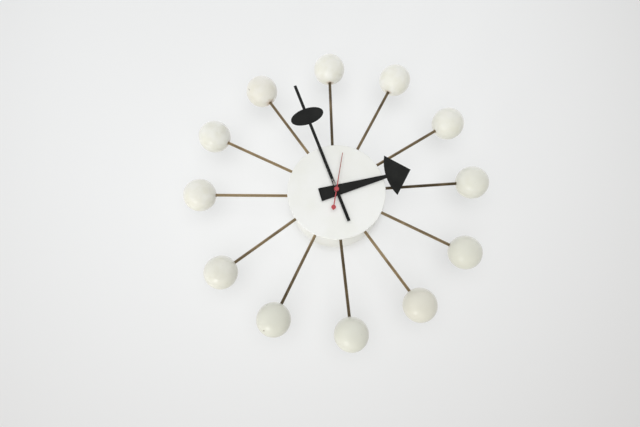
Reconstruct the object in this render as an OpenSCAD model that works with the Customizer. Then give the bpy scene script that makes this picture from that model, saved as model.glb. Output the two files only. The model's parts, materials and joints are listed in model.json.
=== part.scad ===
// Ball wall clock: a white drum case with a bare dial, twelve wooden balls on brass spokes, black hour and
// minute hands, a red second hand, and a battery quartz movement with its whole gear train inside.
// Frame: the origin is on the hands' axis at the wall, +X is to the right as seen from the front, +Y goes
// into the wall and +Z is up. Each piece is drawn lying face up, with z as the height above the wall and
// twelve o'clock along +Y, and hung() stands it up against the wall.

/* [Balls and spokes] */
// Diameter of the circle through the ball centres
ball_circle_d = 295; // [285:1:320]
// Diameter of each ball
ball_d = 35; // [28:0.5:38]
// Depth of the hole in a ball that holds its spoke
ball_hole_depth = 16; // [8:0.5:22]
// Diameter of the spokes
spoke_d = 3.2; // [2.4:0.1:3.4]
// Diameter of the threaded end of a spoke, which goes through the drum
spoke_thread_d = 2; // [1.6:0.1:2.2]
// Width across flats of the nuts on the spokes
spoke_nut_af = 4; // [3.8:0.1:5]
// Thickness of the nuts on the spokes
spoke_nut_t = 1.6; // [1.2:0.1:2.4]

/* [Case] */
// Outer diameter of the dial plate
dial_d = 105; // [100:0.5:120]
// Depth of the case from the wall to the face of the dial
case_depth = 53.5; // [40:0.5:60]
// Sheet thickness of the dial plate
dial_t = 0.8; // [0.6:0.1:1.2]
// Radius of the rounded edge of the dial plate
dial_edge_r = 0.7; // [0.3:0.1:1]
// Sheet thickness of the drum
drum_t = 1; // [0.8:0.1:1.5]
// Width of the flat rings welded into both ends of the drum
end_ring_w = 7; // [7:0.5:9]
// Thread diameter of the studs welded behind the dial plate
stud_d = 3; // [2.5:0.1:3.2]
// Thickness of the back cover
cover_t = 1.2; // [1.2:0.1:2]
// Thread diameter of the screws that hold the back cover
cover_screw_d = 2.5; // [2:0.1:2.5]
// Length of the screws that hold the back cover
cover_screw_l = 5; // [4:0.5:8]

/* [Wall keyhole] */
// Diameter of the keyhole's round opening, which a wall screw's head passes through
keyhole_d = 9; // [8:0.5:10]
// Width of the keyhole's slot
keyhole_slot_w = 5; // [4:0.5:5]
// Length of the slot, from the opening's centre to the centre of the slot's round end
keyhole_slot_l = 8; // [7:0.5:10]
// Height of the keyhole's round opening above the hands' axis
keyhole_up = 30; // [28:0.5:32]

/* [Hour hand] */
// Length from the axis to the tip
hour_l = 82.5; // [70:0.5:110]
// Length of the tail behind the axis
hour_tail = 18.2; // [10:0.1:24]
// Width of the blade at the end of the tail
hour_tail_w = 14.8; // [12:0.1:18]
// Width of the blade where it meets the arrowhead
hour_neck_w = 4; // [2:0.1:6]
// Width of the arrowhead
arrow_w = 46; // [24:0.5:50]
// Length of the arrowhead from its corners to its tip
arrow_l = 22.2; // [12:0.1:30]
// How far the arrowhead's back edge bulges towards the axis
arrow_bulge = 5.2; // [1:0.1:8]

/* [Minute hand] */
// Length from the axis to the tip
minute_l = 130; // [110:0.5:130]
// Length of the tail behind the axis
minute_tail = 36.2; // [10:0.1:48]
// Width of the bar
minute_w = 3.3; // [2:0.1:4]
// Distance of the oval's centre from the axis
oval_at = 90.1; // [60:0.1:100]
// Width of the oval across the bar
oval_w = 37.2; // [20:0.1:44]
// Height of the oval along the bar
oval_h = 19; // [8:0.1:24]

/* [Second hand] */
// Length from the axis to the tip
second_l = 41.2; // [30:0.1:60]
// Distance of the counterweight's centre from the axis
weight_at = 19.8; // [12:0.1:30]
// Diameter of the counterweight
weight_d = 4.9; // [3:0.1:8]
// Length of the counterweight's pointed end, from its centre
weight_point = 3.3; // [3:0.1:6]
// Diameter of the hub cap
second_cap_d = 5.6; // [5:0.1:8]
// Width of the needle at the hub
needle_w = 1.1; // [0.8:0.1:1.6]
// Width of the needle at its tip
needle_tip_w = 0.9; // [0.4:0.1:1]

/* [Hand stack] */
// Sheet thickness of the hour and minute hands
hand_t = 0.6; // [0.4:0.1:1]
// Sheet thickness of the second hand
second_t = 0.3; // [0.2:0.1:0.6]
// Space between the hour hand and the minute hand
minute_rise = 1.4; // [1:0.1:3]
// Space between the minute hand and the second hand
second_rise = 2; // [1.6:0.1:3]
// Turn of the hour hand from twelve o'clock, clockwise, in degrees
hour_turn = 78.4; // [0:0.1:360]
// Turn of the minute hand from twelve o'clock, clockwise, in degrees
minute_turn = 343.8; // [0:0.1:360]
// Turn of the second hand from twelve o'clock, clockwise, in degrees
second_turn = 13.8; // [0:0.1:360]

/* [Movement] */
// Gear module of the centre wheel, which sets the size of the whole train
gear_module = 0.3; // [0.28:0.01:0.34]
// Thickness of the wheels
wheel_t = 1.1; // [0.8:0.1:1.2]
// Space between two layers of wheels
layer_gap = 0.5; // [0.4:0.1:0.6]
// Wall thickness of the movement's housing
shell_t = 1.5; // [1.4:0.1:2]
// Thickness of the movement's rear plate
rear_plate_t = 1.8; // [1.5:0.1:2.4]
// Height of the gear room above the hands' axis
gear_room_up = 26.5; // [25.5:0.5:30]
// Diameter of the battery
battery_d = 14.5; // [13.5:0.1:14.5]
// Length of the battery over its button
battery_l = 50.5; // [49.5:0.1:52]
// Thread diameter of the bush that clamps the movement to the dial
bush_d = 8; // [7.6:0.1:8.4]
// Width across flats of the bush nut
bush_nut_af = 9.4; // [9.2:0.1:10]
// Thickness of the bush nut
bush_nut_t = 1.6; // [1.2:0.1:2.4]
// Thickness of the gasket between the movement and the dial
gasket_t = 1; // [0.5:0.1:2]
// Diameter of the setting knob
knob_d = 10; // [8:0.5:12]
// Thickness of the setting knob
knob_t = 3; // [2:0.5:5]

/* [Hidden] */
hours = [for (h = [1:12]) h];
function two_digits(h) = str(h < 10 ? "0" : "", h);
function spoke_name(h) = str("spoke_", two_digits(h));
function ball_name(h) = str("ball_", two_digits(h));
$fn = 64;

// Colours as the photograph shows them, and the usual ones inside
white_enamel = "#EDEDE4";
cream_paint = "#EFEBDD";
aged_brass = "#8A6A3C";
satin_black = "#2B2C2E";
signal_red = "#C8444A";
zinc = "#B9BCBE";
black_plastic = "#2A2A2C";
white_plastic = "#E4E2DA";
yellow_brass = "#C9A24C";
board_green = "#2F6B3F";
copper = "#B5683A";
sleeve_grey = "#8E9296";

// Clearances: running fits, snug fits on shared shafts, loose holes, and the space left beside a tool
run_gap = 0.05;
snug_gap = 0.02;
hole_gap = 0.1;
free_gap = 0.4;
// Length by which two joined forms of one piece run into each other
join = 0.2;

// Lean of each spoke out of true, clockwise in degrees, from twelve o'clock round to eleven
spoke_lean = [2.5, 2, 3, 0.5, 1, -1, -1.5, 0, -2, 5, 0, -1];
// Length by which each spoke is longer than the drawing's, in the same order
spoke_extra = [0, 1.8, 0, -1.4, 0.4, -2.2, 0.8, 0.5, 0, -0.4, 2, -1.1];

// Case: heights above the wall and radii
dial_back = case_depth - dial_t;
skirt_gap = 0.7;
spoke_setback = dial_t + drum_t + spoke_nut_af / 2 + free_gap;
spoke_z = case_depth - spoke_setback;
skirt_l = spoke_setback - spoke_d / 2 - skirt_gap;
drum_r = dial_d / 2 - dial_t - hole_gap;
drum_inner_r = drum_r - drum_t;
end_ring_r = drum_inner_r - snug_gap;
stud_nut_af = 1.8 * stud_d;
stud_nut_t = 0.8 * stud_d;
fastener_count = 3;
fastener_circle_r = drum_inner_r - stud_nut_af / sqrt(3) - free_gap;
stud_l = drum_t + stud_nut_t + free_gap;
// Countersunk heads at a right angle, sunk flush in the back cover
screw_head_d = cover_screw_d + 1.8 * cover_t;
screw_slot_w = 0.6;
screw_slot_depth = 0.5;

// Spokes and balls: distances along a spoke from the outside of the drum
function ball_reach(h) = ball_circle_d / 2 - drum_r + spoke_extra[h % 12];
function ball_hole_end(h) = ball_reach(h) - ball_d / 2 + ball_hole_depth;
function spoke_end(h) = ball_hole_end(h) - hole_gap;
hole_chamfer = 0.5;
spoke_nut_corner_r = spoke_nut_af / sqrt(3);
// The nut's flat face meets the drum's hollow wall at two of its corners
spoke_nut_seat = drum_inner_r - sqrt(pow(drum_inner_r, 2) - pow(spoke_nut_corner_r, 2)) + 0.01;
thread_past_nut = 0.6;

// Hand stack: heights above the wall
washer_t = 0.4;
bush_nut_z = case_depth + washer_t;
bush_end = bush_nut_z + bush_nut_t + hole_gap;
hour_hand_z = bush_end + free_gap;
minute_hand_z = hour_hand_z + hand_t + minute_rise;
second_hand_z = minute_hand_z + hand_t + second_rise;
// How far a tube stands out past the hand on it
tube_past_hand = 0.3;
minute_boss_d = second_cap_d - 0.4;
second_cap_t = 0.9;
second_arbor_end = second_hand_z;

// Coaxial tubes at the hands' axis
second_arbor_r = 0.5;
minute_pipe_bore_r = second_arbor_r + run_gap;
minute_pipe_r = 1.7;
minute_seat_r = 1.4;
hour_tube_bore_r = minute_pipe_r + run_gap;
hour_tube_r = 2.5;
bush_bore_r = hour_tube_r + run_gap;

// Tooth counts of the train and of the motion work
rotor_teeth = 8;
intermediate_teeth = 48;
intermediate_pinion_teeth = 8;
second_teeth = 40;
second_pinion_teeth = 8;
third_teeth = 64;
third_pinion_teeth = 8;
centre_teeth = 60;
cannon_teeth = 12;
minute_teeth = 36;
minute_pinion_teeth = 10;
hour_teeth = 40;

// Tooth form: stub involute teeth, thinned for backlash
pressure_angle = 25;
addendum = 0.7;
dedendum = 0.95;
tooth_thinning = 0.05;

// Modules of the other pairs, and the distances between arbors that follow from them
coarse_module = 1.5 * gear_module;
third_distance = gear_module * (centre_teeth + third_pinion_teeth) / 2;
third_module = 2 * third_distance / (third_teeth + second_pinion_teeth);
intermediate_distance = coarse_module * (second_teeth + intermediate_pinion_teeth) / 2;
rotor_distance = gear_module * (intermediate_teeth + rotor_teeth) / 2;
motion_distance = coarse_module * (cannon_teeth + minute_teeth) / 2;
hour_module = 2 * motion_distance / (hour_teeth + minute_pinion_teeth);

// Directions between arbors, anticlockwise in degrees from three o'clock
third_dir = 20;
intermediate_dir = 150;
rotor_dir = 120;
motion_dir = 90;
function polar(r, a) = [r * cos(a), r * sin(a)];
third_at = polar(third_distance, third_dir);
intermediate_at = polar(intermediate_distance, intermediate_dir);
rotor_at = intermediate_at + polar(rotor_distance, rotor_dir);
motion_at = polar(motion_distance, motion_dir);

// Layers of wheels, counted from the front of the housing
shell_front = dial_back - gasket_t;
shell_inner = shell_front - shell_t;
function layer_top(k) = shell_inner - layer_gap - k * (wheel_t + layer_gap);
function layer_bottom(k) = layer_top(k) - wheel_t;
hour_layer = 0;
cannon_layer = 1;
centre_layer = 2;
third_layer = 3;
second_layer = 4;
intermediate_layer = 5;
magnet_t = 1.8;
magnet_top = layer_bottom(intermediate_layer) - layer_gap;
magnet_bottom = magnet_top - magnet_t;
rear_inner = magnet_bottom - layer_gap;
shell_rear = rear_inner - rear_plate_t;

// Pivots of the arbors in blind bores of the front wall and the rear plate
pivot_r = 0.5;
bore_floor = 0.5;
pivot_front = shell_front - bore_floor - hole_gap;
pivot_rear = shell_rear + bore_floor + hole_gap;
setting_arbor_r = 0.8;

// Gear room and battery bay
contact_t = 0.4;
spring_dome_t = 0.7;
bay_l = battery_l + 2 * contact_t + spring_dome_t;
bay_w = battery_d + 2 * hole_gap;
movement_w = bay_l + 2 * shell_t;
room_w = movement_w - 2 * shell_t;
gear_floor = coarse_module * (second_teeth / 2 + addendum) + 2 * free_gap;
divider_t = shell_t;
bay_top = -gear_floor - divider_t;
bay_bottom = bay_top - bay_w;
movement_bottom = bay_bottom - shell_t;
movement_top = gear_room_up + shell_t;
movement_h = movement_top - movement_bottom;
movement_mid = (movement_top + movement_bottom) / 2;
movement_corner_r = 3;
battery_y = (bay_top + bay_bottom) / 2;
battery_z = shell_inner - hole_gap - battery_d / 2;
rim_t = 0.8;
rim_h = 1.2;

// Access window in the back cover, over the battery and the setting knob
window_top = motion_at[1] + knob_d / 2 + 3;
window_bottom = movement_bottom;
window_w = movement_w;
window_corner_r = 6;

// Circuit board along the foot of the gear room, on bosses of the rear plate
board_t = 0.8;
board_h = 6.4;
board_rise = 0.6;
board_z = rear_inner + board_rise;
board_top = board_z + board_t;
board_low = -gear_floor + rim_t + 2 * hole_gap;
board_w = room_w - 2 * rim_t - 4 * hole_gap;
board_boss_x = board_w / 2 - 8;

// Step motor: the stator's bar and legs round the rotor, and the coil's core across the legs
magnet_r = 3;
stator_gap = 0.5;
stator_t = 1;
stator_z = magnet_bottom + (magnet_t - stator_t) / 2;
stator_top = stator_z + stator_t;
stator_bar_h = 9;
stator_leg_w = 4;
stator_left = rotor_at[0] - 11;
stator_right = motion_at[0] - setting_arbor_r - 2;
coil_y = gear_room_up - 4.6;
core_t = 1;
core_h = 3;
coil_flange_t = 0.8;
coil_flange_h = 6.4;
coil_left = stator_left + stator_leg_w;
coil_right = stator_right - stator_leg_w;
coil_z = stator_top + core_t / 2;
coil_r = coil_z - rear_inner - hole_gap;

// Stands a piece that is drawn lying on its back up against the wall
module hung() {
    rotate([90, 0, 0]) children();
}

// Turns a piece clockwise, as seen from the front, from twelve o'clock
module clock_turn(angle) {
    rotate([0, 0, -angle]) children();
}

// Points a cylinder's axis along +Y, outwards from the hands' axis
module outwards() {
    rotate([-90, 0, 0]) children();
}

module ring(inner_r, outer_r, z0, z1) {
    translate([0, 0, z0])
        linear_extrude(z1 - z0)
            difference() {
                circle(outer_r);
                circle(inner_r);
            }
}

module disc(r, z0, z1) {
    translate([0, 0, z0]) cylinder(h = z1 - z0, r = r);
}

module rounded_square(w, h, r) {
    square([w - 2 * r, h], center = true);
    square([w, h - 2 * r], center = true);
    for (x = [-1, 1], y = [-1, 1])
        translate([x * (w / 2 - r), y * (h / 2 - r)]) circle(r);
}

module hexagon(across_flats) {
    circle(across_flats / sqrt(3), $fn = 6);
}

// Places the fasteners of the dial and of the cover between the spokes
module on_fastener_circle() {
    for (i = [0:fastener_count - 1])
        clock_turn(45 + i * 360 / fastener_count)
            translate([0, fastener_circle_r, 0]) children();
}

// Gear outline with the first tooth pointing along +X
function involute(angle) = tan(angle) - angle * PI / 180;
function half_tooth(r, pitch_r, teeth) =
    let (base_r = pitch_r * cos(pressure_angle))
    let (angle = acos(base_r / max(r, base_r)))
    let (at_pitch = PI / 2 / teeth - tooth_thinning / 2 / pitch_r)
    (at_pitch + involute(pressure_angle) - involute(angle)) * 180 / PI;
function flank(tooth, side, teeth, m) =
    let (pitch_r = m * teeth / 2)
    let (radii = [pitch_r - dedendum * m, pitch_r, pitch_r + addendum * m])
    [for (i = side < 0 ? [0:2] : [2:-1:0])
        polar(radii[i], tooth * 360 / teeth + side * half_tooth(radii[i], pitch_r, teeth))];

// Disc with teeth, its tooth, or its gap, pointing at its mate in the direction given
module gear(teeth, m, layer, bore_r, mate_dir, gap_to_mate = false) {
    outline = [for (tooth = [0:teeth - 1], side = [-1, 1], p = flank(tooth, side, teeth, m)) p];
    translate([0, 0, layer_bottom(layer)])
        rotate([0, 0, mate_dir + (gap_to_mate ? 180 / teeth : 0)])
            linear_extrude(wheel_t)
                difference() {
                    polygon(outline);
                    if (bore_r > 0) circle(bore_r);
                }
}

// Arbor from the rear plate to the front wall
module arbor(r) {
    disc(r, pivot_rear, pivot_front);
}

module dial_plate() {
    color(white_enamel) {
        difference() {
            rotate_extrude() {
                translate([0, dial_back]) square([dial_d / 2 - dial_edge_r, dial_t]);
                translate([0, case_depth - skirt_l])
                    square([dial_d / 2, skirt_l - dial_edge_r]);
                translate([dial_d / 2 - dial_edge_r, case_depth - dial_edge_r]) circle(dial_edge_r);
            }
            disc(dial_d / 2 - dial_t, 0, dial_back);
            disc(bush_d / 2 + hole_gap, 0, case_depth + 1);
        }
        on_fastener_circle() disc(stud_d / 2, dial_back - stud_l, dial_back + join);
    }
}

module dial_nuts() {
    color(zinc)
        on_fastener_circle()
            translate([0, 0, dial_back - drum_t - stud_nut_t])
                linear_extrude(stud_nut_t)
                    difference() {
                        hexagon(stud_nut_af);
                        circle(stud_d / 2 + snug_gap);
                    }
}

module case_drum() {
    color(white_enamel)
        difference() {
            ring(drum_inner_r, drum_r, cover_t, dial_back);
            for (h = hours)
                clock_turn(30 * h)
                    translate([0, drum_inner_r - 1, spoke_z])
                        outwards() cylinder(h = drum_t + 2, d = spoke_thread_d + 2 * hole_gap);
        }
}

// Flat ring welded into one end of the drum, drilled for the fasteners there
module end_ring(z, hole_r) {
    color(white_enamel)
        difference() {
            ring(end_ring_r - end_ring_w, end_ring_r, z, z + drum_t);
            on_fastener_circle() disc(hole_r, z - 1, z + drum_t + 1);
        }
}

module front_ring() {
    end_ring(dial_back - drum_t, stud_d / 2 + hole_gap);
}

module rear_ring() {
    end_ring(cover_t, cover_screw_d / 2 + run_gap);
}

// Shank and countersunk head, widened by a gap to cut its own seat
module cover_screw_body(gap) {
    disc(cover_screw_d / 2 + gap, 0, cover_screw_l);
    cylinder(h = 0.9 * cover_t, r1 = screw_head_d / 2 + gap, r2 = cover_screw_d / 2 + gap);
}

module back_cover() {
    color(white_enamel)
        difference() {
            disc(drum_r, 0, cover_t);
            translate([0, (window_top + window_bottom) / 2, -1])
                linear_extrude(cover_t + 2)
                    rounded_square(window_w, window_top - window_bottom, window_corner_r);
            translate([0, keyhole_up, -1]) cylinder(h = cover_t + 2, d = keyhole_d);
            translate([0, keyhole_up + keyhole_slot_l, -1]) cylinder(h = cover_t + 2, d = keyhole_slot_w);
            translate([-keyhole_slot_w / 2, keyhole_up, -1])
                cube([keyhole_slot_w, keyhole_slot_l, cover_t + 2]);
            on_fastener_circle() cover_screw_body(run_gap);
        }
}

module cover_screws() {
    color(zinc)
        on_fastener_circle()
            difference() {
                cover_screw_body(0);
                translate([-screw_head_d / 2 - 1, -screw_slot_w / 2, -1])
                    cube([screw_head_d + 2, screw_slot_w, screw_slot_depth + 1]);
            }
}

// Moves a piece to the place where an hour's spoke leaves the drum
module at_spoke(h) {
    clock_turn(30 * h) translate([0, drum_r, spoke_z]) children();
}

// Leans a piece out of true with the spoke that carries it
module leaning(h) {
    clock_turn(spoke_lean[h % 12]) children();
}

module spoke(h) {
    thread_l = drum_t + spoke_nut_seat + spoke_nut_t + thread_past_nut;
    color(aged_brass)
        at_spoke(h) {
            difference() {
                leaning(h) translate([0, -1, 0]) outwards() cylinder(h = spoke_end(h) + 1, d = spoke_d);
                translate([-spoke_d, -2 * spoke_d, -spoke_d]) cube(2 * spoke_d);
            }
            translate([0, -thread_l, 0])
                outwards() cylinder(h = thread_l + spoke_d / 2, d = spoke_thread_d);
        }
}

module spoke_nuts() {
    color(zinc)
        for (h = hours)
            at_spoke(h)
                translate([0, -drum_t - spoke_nut_seat - spoke_nut_t, 0])
                    outwards()
                        linear_extrude(spoke_nut_t)
                            difference() {
                                hexagon(spoke_nut_af);
                                circle(spoke_thread_d / 2 + snug_gap);
                            }
}

module ball(h) {
    hole_r = spoke_d / 2 + run_gap;
    color(cream_paint)
        at_spoke(h)
            leaning(h)
                difference() {
                    translate([0, ball_reach(h), 0]) sphere(d = ball_d);
                    translate([0, ball_hole_end(h), 0])
                        rotate([90, 0, 0]) cylinder(h = ball_hole_depth + 1, r = hole_r);
                    translate([0, ball_reach(h) - ball_d / 2, 0])
                        outwards() cylinder(h = hole_chamfer, r1 = hole_r + hole_chamfer, r2 = hole_r);
                }
}

// Blind bores for the arbors' pivots, from the inner face of a wall to its floor
module pivot_bores(z0, z1) {
    for (at = [third_at, intermediate_at, rotor_at])
        translate(at) disc(pivot_r + run_gap, z0, z1);
}

module movement_front() {
    color(black_plastic)
        difference() {
            union() {
                translate([0, movement_mid, rear_inner])
                    linear_extrude(shell_front - rear_inner)
                        rounded_square(movement_w, movement_h, movement_corner_r);
                translate([0, movement_mid, shell_rear])
                    linear_extrude(rear_plate_t + join)
                        intersection() {
                            rounded_square(movement_w, movement_h, movement_corner_r);
                            translate([-movement_w / 2, movement_bottom - movement_mid])
                                square([movement_w, bay_w + shell_t + divider_t / 2]);
                        }
            }
            translate([-room_w / 2, -gear_floor, rear_inner - 1])
                cube([room_w, gear_room_up + gear_floor, shell_inner - rear_inner + 1]);
            translate([-bay_l / 2, bay_bottom, shell_rear - 1])
                cube([bay_l, bay_w, shell_inner - shell_rear + 1]);
            contact_slots();
            disc(bush_d / 2 + run_gap, shell_inner - 1, shell_front + 1);
            disc(bush_flange_r + run_gap, shell_inner - 1, shell_inner + bush_flange_t + run_gap);
            pivot_bores(shell_inner - 1, shell_front - bore_floor);
            translate(motion_at) disc(pivot_r + run_gap, shell_inner - 1, shell_front - bore_floor);
        }
}

module movement_rear() {
    plate_low = -gear_floor - divider_t / 2 + hole_gap;
    color(black_plastic)
        difference() {
            union() {
                translate([0, movement_mid, shell_rear])
                    linear_extrude(rear_plate_t)
                        intersection() {
                            rounded_square(movement_w, movement_h, movement_corner_r);
                            translate([-movement_w / 2, plate_low - movement_mid])
                                square([movement_w, movement_top - plate_low]);
                        }
                translate([0, (gear_room_up - gear_floor) / 2, rear_inner - join])
                    linear_extrude(rim_h + join) rear_rim();
                for (x = [-board_boss_x, board_boss_x])
                    translate([x, board_low + board_h / 2]) disc(1.5, rear_inner - join, board_z);
            }
            pivot_bores(shell_rear + bore_floor, rear_inner + 1);
            disc(pivot_r + run_gap, shell_rear + bore_floor, rear_inner + 1);
            translate(motion_at) disc(setting_arbor_r + run_gap, shell_rear - 1, rear_inner + 1);
        }
}

// Locating rim of the rear plate, just inside the gear room, open at the foot where the contacts pass
module rear_rim() {
    w = room_w - 2 * hole_gap;
    h = gear_room_up + gear_floor - 2 * hole_gap;
    difference() {
        square([w, h], center = true);
        square([w - 2 * rim_t, h - 2 * rim_t], center = true);
        for (x = [-1, 1])
            translate([x * w / 2, -h / 2]) square(2 * (contact_foot_l + free_gap), center = true);
    }
}

bush_flange_r = bush_d / 2 + 1.5;
bush_flange_t = 0.7;

module centre_bush() {
    color(yellow_brass)
        difference() {
            union() {
                disc(bush_d / 2, shell_inner, bush_end);
                disc(bush_flange_r, shell_inner, shell_inner + bush_flange_t);
            }
            disc(bush_bore_r, shell_inner - 1, bush_end + 1);
        }
}

module bush_gasket() {
    color(satin_black) ring(bush_d / 2 + hole_gap, bush_d, shell_front, dial_back);
}

module bush_washer() {
    color(yellow_brass) ring(bush_d / 2 + hole_gap, bush_nut_af / 2, case_depth, bush_nut_z);
}

module bush_nut() {
    color(yellow_brass)
        translate([0, 0, bush_nut_z])
            linear_extrude(bush_nut_t)
                difference() {
                    hexagon(bush_nut_af);
                    circle(bush_d / 2 + snug_gap);
                }
}

module circuit_board() {
    color(board_green)
        translate([-board_w / 2, board_low, board_z]) cube([board_w, board_h, board_t]);
}

crystal_r = 1;
crystal_l = 6;
crystal_x = 12;

module quartz_crystal() {
    color(zinc)
        translate([crystal_x, board_low + board_h / 2, board_top + crystal_r])
            rotate([0, 90, 0]) cylinder(h = crystal_l, r = crystal_r);
}

chip_w = 4;
chip_t = 1;

module ic_chip() {
    color(black_plastic)
        translate([0, board_low + board_h / 2, board_top]) disc(chip_w / 2, 0, chip_t);
}

module stator() {
    color(zinc)
        translate([0, 0, stator_z])
            linear_extrude(stator_t)
                difference() {
                    union() {
                        translate([stator_left, rotor_at[1] - stator_bar_h / 2])
                            square([stator_right - stator_left, stator_bar_h]);
                        for (x = [stator_left, stator_right - stator_leg_w])
                            translate([x, rotor_at[1]])
                                square([stator_leg_w, coil_y + core_h / 2 - rotor_at[1]]);
                    }
                    translate(rotor_at) circle(magnet_r + stator_gap);
                }
}

module coil_bobbin() {
    core_l = stator_right - stator_left;
    color(white_plastic) {
        translate([stator_left, coil_y - core_h / 2, stator_top]) cube([core_l, core_h, core_t]);
        for (x = [coil_left, coil_right - coil_flange_t])
            translate([x, coil_y - coil_flange_h / 2, coil_z - coil_r])
                cube([coil_flange_t, coil_flange_h, 2 * coil_r]);
    }
}

module coil_winding() {
    x0 = coil_left + coil_flange_t;
    x1 = coil_right - coil_flange_t;
    color(copper)
        difference() {
            translate([x0, coil_y, coil_z]) rotate([0, 90, 0]) cylinder(h = x1 - x0, r = coil_r);
            translate([x0 - 1, coil_y - core_h / 2 - snug_gap, coil_z - core_t / 2 - snug_gap])
                cube([x1 - x0 + 2, core_h + 2 * snug_gap, core_t + 2 * snug_gap]);
        }
}

rotor_hub_r = 0.9;

module rotor_magnet() {
    color(zinc)
        translate(rotor_at) ring(rotor_hub_r + snug_gap, magnet_r, magnet_bottom, magnet_top);
}

module rotor_pinion() {
    color(white_plastic)
        translate(rotor_at) {
            arbor(pivot_r);
            disc(rotor_hub_r, magnet_bottom, layer_bottom(intermediate_layer) + join);
            gear(rotor_teeth, gear_module, intermediate_layer, 0, rotor_dir + 180);
        }
}

module intermediate_wheel() {
    color(white_plastic)
        translate(intermediate_at) {
            arbor(pivot_r);
            gear(intermediate_teeth, gear_module, intermediate_layer, 0, rotor_dir, true);
            disc(pivot_r + 0.5, layer_top(intermediate_layer) - join, layer_bottom(second_layer) + join);
            gear(intermediate_pinion_teeth, coarse_module, second_layer, 0, intermediate_dir + 180);
        }
}

module second_wheel() {
    color(white_plastic) {
        disc(pivot_r, pivot_rear, layer_bottom(second_layer) + join);
        gear(second_teeth, coarse_module, second_layer, 0, intermediate_dir, true);
        disc(pivot_r + 0.3, layer_top(second_layer) - join, layer_bottom(third_layer) + join);
        gear(second_pinion_teeth, third_module, third_layer, 0, third_dir);
        disc(second_arbor_r, layer_top(third_layer) - join, second_arbor_end);
    }
}

module third_wheel() {
    color(white_plastic)
        translate(third_at) {
            arbor(pivot_r);
            gear(third_teeth, third_module, third_layer, 0, third_dir + 180, true);
            disc(pivot_r + 0.3, layer_top(third_layer) - join, layer_bottom(centre_layer) + join);
            gear(third_pinion_teeth, gear_module, centre_layer, 0, third_dir + 180);
        }
}

module centre_wheel() {
    color(white_plastic)
        gear(centre_teeth, gear_module, centre_layer, minute_pipe_r + run_gap, third_dir, true);
}

module minute_pipe() {
    color(yellow_brass)
        difference() {
            union() {
                disc(minute_pipe_r, layer_bottom(centre_layer) - layer_gap / 2, minute_hand_z);
                disc(minute_seat_r, minute_hand_z - join, minute_hand_z + hand_t + tube_past_hand);
                gear(cannon_teeth, coarse_module, cannon_layer, 0, motion_dir);
            }
            disc(minute_pipe_bore_r, layer_bottom(third_layer), second_hand_z);
        }
}

module minute_wheel() {
    color(white_plastic)
        translate(motion_at) {
            disc(pivot_r, layer_top(hour_layer) - join, pivot_front);
            gear(minute_pinion_teeth, hour_module, hour_layer, 0, motion_dir + 180);
            disc(setting_arbor_r + 0.4, layer_top(cannon_layer) - join, layer_bottom(hour_layer) + join);
            gear(minute_teeth, coarse_module, cannon_layer, 0, motion_dir + 180, true);
            disc(setting_arbor_r, knob_rear + bore_floor, layer_bottom(cannon_layer) + join);
        }
}

module hour_wheel() {
    color(white_plastic)
        difference() {
            union() {
                gear(hour_teeth, hour_module, hour_layer, 0, motion_dir, true);
                disc(hour_tube_r, layer_bottom(hour_layer), hour_hand_z + hand_t + tube_past_hand);
            }
            disc(hour_tube_bore_r, layer_bottom(cannon_layer), minute_hand_z);
        }
}

knob_gap = 0.3;
knob_front = shell_rear - knob_gap;
knob_rear = knob_front - knob_t;
knob_flutes = 20;
knob_flute_r = 0.45;

module setting_knob() {
    color(white_plastic)
        translate(motion_at)
            difference() {
                disc(knob_d / 2, knob_rear, knob_front);
                disc(setting_arbor_r + snug_gap, knob_rear + bore_floor, knob_front + 1);
                for (i = [0:knob_flutes - 1])
                    translate(polar(knob_d / 2, i * 360 / knob_flutes))
                        disc(knob_flute_r, knob_rear - 1, knob_front + 1);
            }
}

button_r = 2.75;
button_l = 1;

// The cell lies with its button to the right, against the positive contact
module battery() {
    body_l = battery_l - button_l;
    right = bay_l / 2 - contact_t;
    color(sleeve_grey)
        translate([right - battery_l, battery_y, battery_z])
            rotate([0, 90, 0]) {
                cylinder(h = body_l, d = battery_d);
                translate([0, 0, body_l - join]) cylinder(h = button_l + join, r = button_r);
            }
}

contact_w = 6;
contact_foot_l = 4;
contact_low = battery_y - 5;
contact_high = board_low + 3;

// Bent strip: a plate across the end of the bay, carried through the divider to a foot on the board
module contact(side) {
    outer = side * bay_l / 2;
    z_low = battery_z - contact_w / 2;
    module strip(y0, y1, z0, z1, length) {
        translate([side > 0 ? outer - length : outer, y0, z0]) cube([length, y1 - y0, z1 - z0]);
    }
    strip(contact_low, contact_high, z_low, z_low + contact_w, contact_t);
    strip(-gear_floor + 2 * hole_gap, contact_high, board_top, z_low + join, contact_t);
    strip(board_low, contact_high, board_top, board_top + contact_t, contact_foot_l);
}

module contact_slots() {
    z_low = battery_z - contact_w / 2 - hole_gap;
    for (side = [-1, 1])
        translate([side > 0 ? bay_l / 2 - contact_t - hole_gap : -bay_l / 2, bay_top - 1, z_low])
            cube([contact_t + hole_gap, divider_t + 2, contact_w + 2 * hole_gap]);
}

module contact_positive() {
    color(zinc) contact(1);
}

module contact_negative() {
    color(zinc) {
        contact(-1);
        translate([-bay_l / 2 + contact_t / 2, battery_y, battery_z])
            rotate([0, 90, 0]) cylinder(h = contact_t / 2 + spring_dome_t, r = contact_w / 2 - 0.4);
    }
}

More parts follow.
